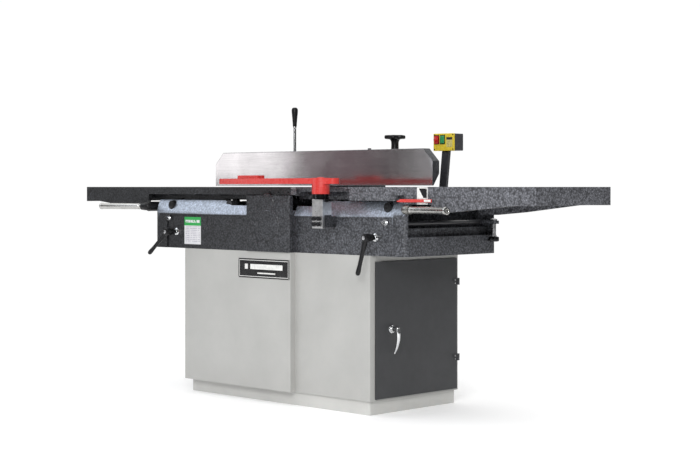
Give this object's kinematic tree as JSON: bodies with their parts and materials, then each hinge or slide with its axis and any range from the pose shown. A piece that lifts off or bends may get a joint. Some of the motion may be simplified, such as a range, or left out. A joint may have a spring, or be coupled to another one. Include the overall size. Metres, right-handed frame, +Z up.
{
  "type": "jointer",
  "caption": "Wide cabinet jointer with parallelogram tables on eccentric cranks, a helical cutterhead, tilting fence, red swing guard, belt drive and post-mounted switch.",
  "frame": {"origin": "floor level, in the middle of the plinth's bolt pattern, directly below the cutterhead's axis", "axes": "+X along the tables towards the infeed end, +Y away from the operator, +Z up"},
  "size_m": [2.461, 0.8221, 1.159],
  "materials": {
    "cabinet_paint": "satin light warm grey enamel",
    "door_paint": "fine textured dark grey enamel",
    "hammered_casting": "dark grey hammered enamel on cast iron",
    "dark_steel": "semi-gloss black enamel",
    "black_plastic": "fine grained black",
    "black_screw": "black oxide",
    "chrome_steel": "bright chrome",
    "turned_steel": "turned steel",
    "red_plastic": "gloss red",
    "name_plate_enamel": "gloss black enamel with a pale border",
    "belt_rubber": "matt black",
    "motor_aluminium": "cast, grey lacquer",
    "yellow_plastic": "moulded yellow",
    "table_iron": "ground top, hammered grey sides",
    "scale_plate": "printed white scale on black",
    "head_steel": "turned steel",
    "carbide": "ground carbide",
    "pulley_iron": "turned grey iron",
    "fence_iron": "ground face, hammered grey back",
    "guard_red": "gloss red powder coat",
    "stop_red": "gloss red",
    "start_green": "gloss green"
  },
  "bodies": {
    "base": {"plinth": "cabinet_paint", "cabinet_left_front_panel": "cabinet_paint", "cabinet_right_front_panel": "cabinet_paint", "cabinet_left_side_panel": "cabinet_paint", "cabinet_right_side_frame": "cabinet_paint", "cabinet_rear_panel": "cabinet_paint", "cabinet_floor": "cabinet_paint", "door_hinge_leaves": "dark_steel", "base_casting": "hammered_casting", "shaft_plugs": "black_plastic", "lever_stop_bolts": "chrome_steel", "clamp_studs": "chrome_steel", "end_tie_bars": "turned_steel", "depth_pointer": "red_plastic", "name_plate": "name_plate_enamel", "head_bearings": "turned_steel", "drive_belts": "belt_rubber", "motor_housing": "motor_aluminium", "motor_bracket": "dark_steel", "chip_chute": "cabinet_paint", "dust_port": "dark_steel", "fence_guide": "hammered_casting", "guide_keepers": "turned_steel", "guard_bracket": "turned_steel", "guard_bracket_screws": "black_screw", "guard_post": "chrome_steel", "switch_post": "dark_steel", "switch_box": "black_plastic", "switch_faceplate": "yellow_plastic"},
    "door": {"cabinet_door": "door_paint"},
    "door_handle": {"door_lever": "chrome_steel", "door_latch_tongue": "turned_steel"},
    "outfeed_clamp": {"outfeed_clamp_lever": "black_plastic"},
    "infeed_clamp": {"infeed_clamp_lever": "black_plastic"},
    "outfeed_main_crank": {"outfeed_outer_crank": "turned_steel", "outfeed_lever_arm": "black_screw", "outfeed_lever_grip": "chrome_steel"},
    "outfeed_second_crank": {"outfeed_inner_crank": "turned_steel"},
    "infeed_main_crank": {"infeed_outer_crank": "turned_steel", "infeed_lever_arm": "black_screw", "infeed_lever_grip": "chrome_steel"},
    "infeed_second_crank": {"infeed_inner_crank": "turned_steel"},
    "outfeed": {"outfeed_table": "table_iron"},
    "infeed": {"infeed_table": "table_iron", "depth_scale": "scale_plate"},
    "cutter_rotor": {"cutterhead": "head_steel", "cutter_inserts": "carbide", "head_pulley": "pulley_iron"},
    "motor_shaft": {"motor_rotor": "turned_steel", "motor_pulley": "pulley_iron"},
    "carriage": {"fence_carriage": "hammered_casting", "fence_pins": "chrome_steel"},
    "fence": {"fence_plate": "fence_iron"},
    "fence_lock": {"fence_lock_lever": "chrome_steel", "fence_lock_grip": "black_plastic"},
    "tilt_lock": {"tilt_lock_knob": "black_plastic"},
    "guard": {"cutter_guard": "guard_red"},
    "stop_actuator": {"stop_button": "stop_red"},
    "start_actuator": {"start_button": "start_green"},
    "depth_stop": {"depth_stop_screw": "black_screw"}
  },
  "joints": [
    {"name": "cutterhead_spin", "type": "hinge", "parent": "base", "child": "cutter_rotor", "pos_m": [0, 0, 0.777], "axis": [0, 1, 0], "continuous": true},
    {"name": "motor_spin", "type": "hinge", "parent": "base", "child": "motor_shaft", "pos_m": [0, 0, 0.262], "axis": [0, 1, 0], "continuous": true},
    {"name": "outfeed_main_crank_turn", "type": "hinge", "parent": "base", "child": "outfeed_main_crank", "pos_m": [-0.597, 0, 0.756], "axis": [0, 1, 0], "range_deg": [-4, 4]},
    {"name": "outfeed_table_lift", "type": "hinge", "parent": "outfeed_main_crank", "child": "outfeed", "pos_m": [-0.627, 0, 0.756], "axis": [0, -1, 0], "range_deg": [-4, 4]},
    {"name": "outfeed_second_crank_turn", "type": "hinge", "parent": "base", "child": "outfeed_second_crank", "pos_m": [-0.25, 0, 0.756], "axis": [0, 1, 0], "range_deg": [-4, 4]},
    {"name": "infeed_main_crank_turn", "type": "hinge", "parent": "base", "child": "infeed_main_crank", "pos_m": [0.597, 0, 0.756], "axis": [0, 1, 0], "range_deg": [0, 25]},
    {"name": "infeed_table_lift", "type": "hinge", "parent": "infeed_main_crank", "child": "infeed", "pos_m": [0.62629, 0, 0.76249], "axis": [0, -1, 0], "range_deg": [0, 25]},
    {"name": "infeed_second_crank_turn", "type": "hinge", "parent": "base", "child": "infeed_second_crank", "pos_m": [0.25, 0, 0.756], "axis": [0, 1, 0], "range_deg": [0, 25]},
    {"name": "fence_slide", "type": "slide", "parent": "base", "child": "carriage", "axis": [0, 1, 0], "range_m": [-0.15, 0.1]},
    {"name": "fence_tilt", "type": "hinge", "parent": "carriage", "child": "fence", "pos_m": [0, 0.035, 0.895], "axis": [1, 0, 0], "range_deg": [-45, 45]},
    {"name": "fence_lock_swing", "type": "hinge", "parent": "carriage", "child": "fence_lock", "pos_m": [-0.265, 0.116, 0.928], "axis": [1, 0, 0], "range_deg": [-50, 0]},
    {"name": "tilt_lock_turn", "type": "hinge", "parent": "carriage", "child": "tilt_lock", "pos_m": [0.3, 0.116, 1], "axis": [0, 0, 1], "range_deg": [-180, 180]},
    {"name": "guard_swing", "type": "hinge", "parent": "base", "child": "guard", "pos_m": [0.335, -0.322, 0.83], "axis": [0, 0, -1], "range_deg": [0, 28]},
    {"name": "outfeed_clamp_turn", "type": "hinge", "parent": "base", "child": "outfeed_clamp", "pos_m": [-0.548, -0.272, 0.648], "axis": [0, 1, 0], "range_deg": [-45, 45]},
    {"name": "infeed_clamp_turn", "type": "hinge", "parent": "base", "child": "infeed_clamp", "pos_m": [0.548, -0.248, 0.648], "axis": [0, 1, 0], "range_deg": [-45, 45]},
    {"name": "door_swing", "type": "hinge", "parent": "base", "child": "door", "pos_m": [0.522, 0.233, 0.31], "axis": [0, 0, 1], "range_deg": [0, 110]},
    {"name": "door_handle_turn", "type": "hinge", "parent": "door", "child": "door_handle", "pos_m": [0.53, -0.141, 0.31], "axis": [1, 0, 0], "range_deg": [0, 90]},
    {"name": "stop_press", "type": "slide", "parent": "base", "child": "stop_actuator", "axis": [0, 1, 0], "range_m": [0, 0.004], "stiffness_N_per_m": 600},
    {"name": "start_press", "type": "slide", "parent": "base", "child": "start_actuator", "axis": [0, 1, 0], "range_m": [0, 0.003], "stiffness_N_per_m": 600},
    {"name": "depth_stop_turn", "type": "hinge", "parent": "base", "child": "depth_stop", "pos_m": [0.714, 0.212, 0.68], "axis": [0, 0, 1], "range_deg": [-180, 180]}
  ],
  "couplings": [
    {"joint": "motor_spin", "follows": "cutterhead_spin", "ratio": 0.66667},
    {"joint": "outfeed_main_crank_turn", "follows": "outfeed_table_lift", "ratio": 1},
    {"joint": "outfeed_second_crank_turn", "follows": "outfeed_table_lift", "ratio": 1},
    {"joint": "infeed_main_crank_turn", "follows": "infeed_table_lift", "ratio": 1},
    {"joint": "infeed_second_crank_turn", "follows": "infeed_table_lift", "ratio": 1}
  ]
}
